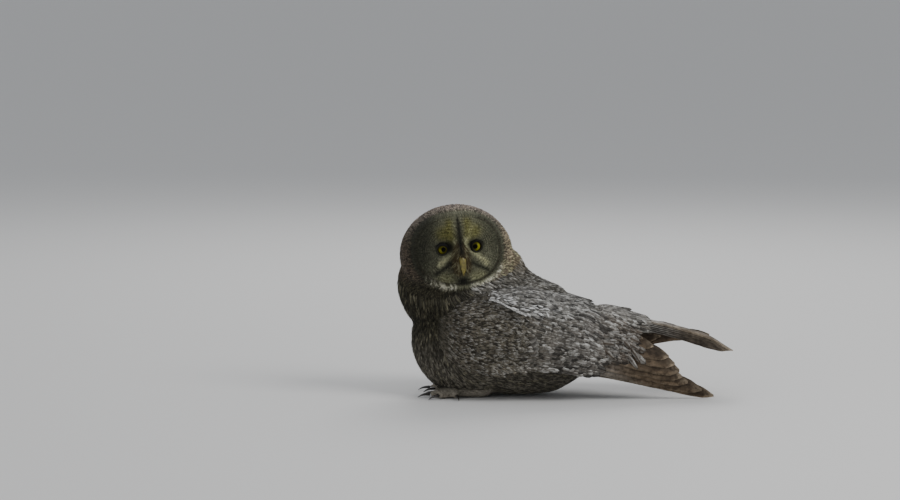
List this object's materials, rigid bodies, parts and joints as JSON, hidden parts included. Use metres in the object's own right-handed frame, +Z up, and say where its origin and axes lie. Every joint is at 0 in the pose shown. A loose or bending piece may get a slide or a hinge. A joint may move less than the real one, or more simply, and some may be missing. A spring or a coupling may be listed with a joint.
{
  "type": "great grey owl",
  "caption": "Life-size great grey owl resting low on its belly, wings folded, tail level, large round face turned to its left side",
  "frame": {"origin": "on the floor, on the flat of the belly in the middle plane of the body", "axes": "+X towards the tail, +Z up, and the face looks along -Y, so the bird's left side is towards -Y"},
  "size_m": [0.552, 0.2248, 0.3174],
  "materials": {
    "breast_plumage": "soft grey feathers, dark with pale streaks",
    "mantle_plumage": "soft brownish grey feathers, finely mottled",
    "face_plumage": "fine grey feathers in rings",
    "wing_plumage": "matt brown feathers, barred",
    "tail_plumage": "matt brown feathers, barred",
    "foot_plumage": "short pale grey feathers",
    "bill_horn": "smooth olive yellow horn",
    "claw_horn": "polished black horn",
    "eye": "wet, yellow iris and black pupil"
  },
  "bodies": {
    "root": {"torso": "breast_plumage", "neck": "mantle_plumage", "head": "face_plumage", "wing_left": "wing_plumage", "wing_right": "wing_plumage", "tail": "tail_plumage", "leg_left": "foot_plumage", "leg_right": "foot_plumage", "foot_left": "foot_plumage", "foot_right": "foot_plumage", "bill_upper": "bill_horn", "bill_lower": "bill_horn", "eye_left": "eye", "eye_right": "eye", "talon_left_1": "claw_horn", "talon_left_2": "claw_horn", "talon_left_3": "claw_horn", "talon_left_4": "claw_horn", "talon_right_1": "claw_horn", "talon_right_2": "claw_horn", "talon_right_3": "claw_horn", "talon_right_4": "claw_horn"}
  },
  "joints": []
}
